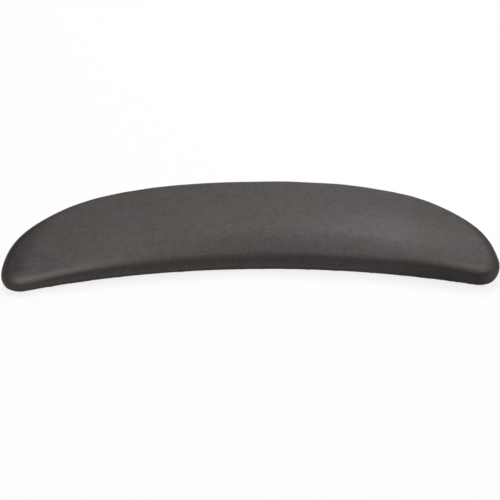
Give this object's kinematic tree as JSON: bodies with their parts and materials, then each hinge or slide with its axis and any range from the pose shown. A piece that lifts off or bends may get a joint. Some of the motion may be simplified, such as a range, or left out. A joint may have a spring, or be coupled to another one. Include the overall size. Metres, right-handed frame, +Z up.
{
  "type": "chair armrest pad",
  "caption": "Crescent-shaped moulded urethane armrest pad with a ribbed nylon insert and a steel mounting plate for bolting to a chair's arm post.",
  "frame": {"origin": "centre of the four-bolt pattern, on the mounting face under the pad", "axes": "+X along the pad's length, +Y towards the bulging outer edge, +Z up out of the arm surface"},
  "size_m": [0.2898, 0.0854, 0.0204],
  "materials": {
    "pad_skin": "matte",
    "foam": "matte",
    "nylon": "matte",
    "zinc_steel": "satin",
    "nut_steel": "satin",
    "brass": "satin",
    "black_steel": "satin"
  },
  "bodies": {
    "root": {"pad_skin": "pad_skin", "foam_core": "foam", "insert_plate": "nylon", "mounting_plate": "zinc_steel", "weld_nuts": "nut_steel", "screw_inserts": "brass", "plate_screws": "black_steel"}
  },
  "joints": []
}
